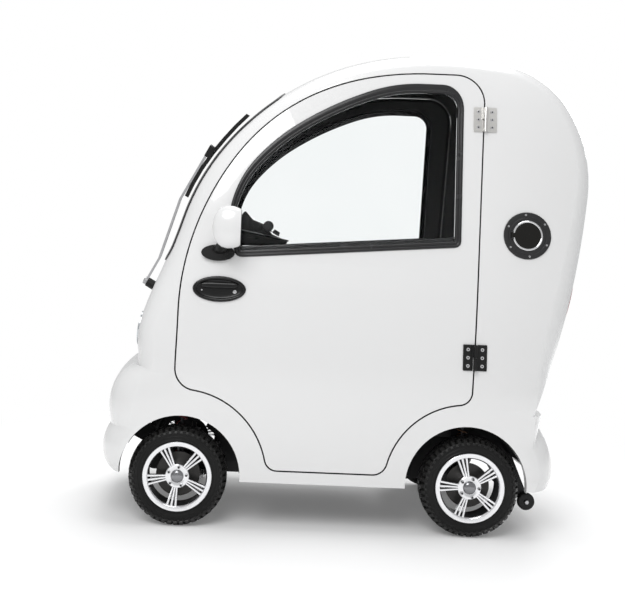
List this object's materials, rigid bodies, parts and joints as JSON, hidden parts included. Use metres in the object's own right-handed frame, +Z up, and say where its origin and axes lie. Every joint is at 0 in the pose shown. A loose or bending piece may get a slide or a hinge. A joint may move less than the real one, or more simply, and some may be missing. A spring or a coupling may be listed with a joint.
{
  "type": "enclosed mobility scooter",
  "caption": "Enclosed four-wheel mobility scooter: bubble cabin with opening side doors, steered front wheels and a single seat.",
  "frame": {"origin": "on the floor under the middle of the whole vehicle's box", "axes": "+X towards the front of the vehicle, +Y to the driver's left, +Z up"},
  "size_m": [1.6688, 0.924, 1.648],
  "materials": {
    "body_white": "gloss white moulded body",
    "cabin_black": "matt black lining",
    "clear_glass": "clear",
    "seal_rubber": "satin black rubber",
    "lamp_clear": "clear lens",
    "lamp_red": "red lens",
    "tub_black": "grained black",
    "chassis_black": "black powder coat",
    "battery_case": "black case",
    "cast_housing": "cast, grey",
    "spring_red": "dark red paint",
    "spring_brown": "brown paint",
    "seat_cover": "black synthetic leather",
    "port_black": "satin black",
    "hinge_steel": "bright steel",
    "wiper_black": "satin black",
    "console_black": "grained black",
    "bright_steel": "machined",
    "handle_black": "satin black",
    "small_wheel": "black",
    "tyre_rubber": "black rubber",
    "rim_alloy": "polished alloy"
  },
  "bodies": {
    "root": {"body_shell": "body_white", "cabin_lining": "cabin_black", "screens": "clear_glass", "screen_seals": "seal_rubber", "headlamps": "lamp_clear", "tail_lamps": "lamp_red", "cabin_tub": "tub_black", "chassis_frame": "chassis_black", "battery_pack": "battery_case", "transaxle": "cast_housing", "front_arms": "chassis_black", "front_dampers": "spring_red", "rear_dampers": "spring_brown", "rack_housing": "chassis_black", "steering_column": "tub_black", "dashboard": "tub_black", "seat_frame": "chassis_black", "seat_cushion": "seat_cover", "seat_back": "seat_cover", "port_flanges": "port_black", "body_hinges": "hinge_steel", "wiper_spindle": "wiper_black", "antitip_brackets": "chassis_black"},
    "handlebar": {"handlebar": "console_black"},
    "tie_rod": {"tie_rod": "bright_steel"},
    "wiper": {"wiper_arm": "wiper_black"},
    "door_left": {"door_panel_left": "body_white", "door_lining_left": "cabin_black", "door_glass_left": "clear_glass", "door_seal_left": "seal_rubber", "door_handle_left": "handle_black", "door_hinges_left": "hinge_steel", "mirror_foot_left": "handle_black", "mirror_housing_left": "body_white"},
    "port_cap_left": {"port_cap_left": "port_black"},
    "knuckle_left": {"knuckle_left": "cast_housing"},
    "antitip_wheel_left": {"antitip_wheel_left": "small_wheel"},
    "wheel_front_left": {"tyre_front_left": "tyre_rubber", "rim_front_left": "rim_alloy"},
    "wheel_rear_left": {"tyre_rear_left": "tyre_rubber", "rim_rear_left": "rim_alloy"},
    "door_right": {"door_panel_right": "body_white", "door_lining_right": "cabin_black", "door_glass_right": "clear_glass", "door_seal_right": "seal_rubber", "door_handle_right": "handle_black", "door_hinges_right": "hinge_steel", "mirror_foot_right": "handle_black", "mirror_housing_right": "body_white"},
    "port_cap_right": {"port_cap_right": "port_black"},
    "knuckle_right": {"knuckle_right": "cast_housing"},
    "antitip_wheel_right": {"antitip_wheel_right": "small_wheel"},
    "wheel_front_right": {"tyre_front_right": "tyre_rubber", "rim_front_right": "rim_alloy"},
    "wheel_rear_right": {"tyre_rear_right": "tyre_rubber", "rim_rear_right": "rim_alloy"}
  },
  "joints": [
    {"name": "door_left", "type": "hinge", "parent": "root", "child": "door_left", "pos_m": [-0.41607, 0.38022, 0.60038], "axis": [-0.0346, -0.0983, 0.9946], "range_deg": [0, 70]},
    {"name": "steer_left", "type": "hinge", "parent": "root", "child": "knuckle_left", "pos_m": [0.55593, 0.27, 0.165], "axis": [0, 0, 1], "range_deg": [-28, 28]},
    {"name": "spin_front_left", "type": "hinge", "parent": "knuckle_left", "child": "wheel_front_left", "pos_m": [0.55593, 0.31, 0.165], "axis": [0, 1, 0], "continuous": true},
    {"name": "spin_rear_left", "type": "hinge", "parent": "root", "child": "wheel_rear_left", "pos_m": [-0.41907, 0.31, 0.165], "axis": [0, 1, 0], "continuous": true},
    {"name": "antitip_spin_left", "type": "hinge", "parent": "root", "child": "antitip_wheel_left", "pos_m": [-0.65607, 0.182, 0.086], "axis": [0, 1, 0], "continuous": true},
    {"name": "port_cap_left", "type": "hinge", "parent": "root", "child": "port_cap_left", "pos_m": [-0.53507, 0.34378, 1.01277], "axis": [0, 0.1114, -0.9938], "range_deg": [0, 90]},
    {"name": "door_right", "type": "hinge", "parent": "root", "child": "door_right", "pos_m": [-0.41607, -0.38022, 0.60038], "axis": [0.0346, -0.0983, -0.9946], "range_deg": [0, 70]},
    {"name": "steer_right", "type": "hinge", "parent": "root", "child": "knuckle_right", "pos_m": [0.55593, -0.27, 0.165], "axis": [0, 0, 1], "range_deg": [-28, 28]},
    {"name": "spin_front_right", "type": "hinge", "parent": "knuckle_right", "child": "wheel_front_right", "pos_m": [0.55593, -0.31, 0.165], "axis": [0, 1, 0], "continuous": true},
    {"name": "spin_rear_right", "type": "hinge", "parent": "root", "child": "wheel_rear_right", "pos_m": [-0.41907, -0.31, 0.165], "axis": [0, 1, 0], "continuous": true},
    {"name": "antitip_spin_right", "type": "hinge", "parent": "root", "child": "antitip_wheel_right", "pos_m": [-0.65607, -0.182, 0.086], "axis": [0, 1, 0], "continuous": true},
    {"name": "port_cap_right", "type": "hinge", "parent": "root", "child": "port_cap_right", "pos_m": [-0.53507, -0.34378, 1.01277], "axis": [0, 0.1114, 0.9938], "range_deg": [0, 90]},
    {"name": "steer", "type": "hinge", "parent": "root", "child": "handlebar", "pos_m": [0.32093, 0, 0.917], "axis": [-0.3191, 0, 0.9477], "range_deg": [-28, 28]},
    {"name": "rack", "type": "slide", "parent": "root", "child": "tie_rod", "axis": [0, 1, 0], "range_m": [-0.036, 0.036]},
    {"name": "wiper", "type": "hinge", "parent": "root", "child": "wiper", "pos_m": [0.72593, 0, 0.795], "axis": [0.8729, 0, 0.4879], "range_deg": [-8, 50]}
  ],
  "couplings": [
    {"joint": "steer_left", "follows": "steer", "ratio": 1},
    {"joint": "steer_right", "follows": "steer", "ratio": 1},
    {"joint": "rack", "follows": "steer", "m_per_rad": -0.072}
  ]
}
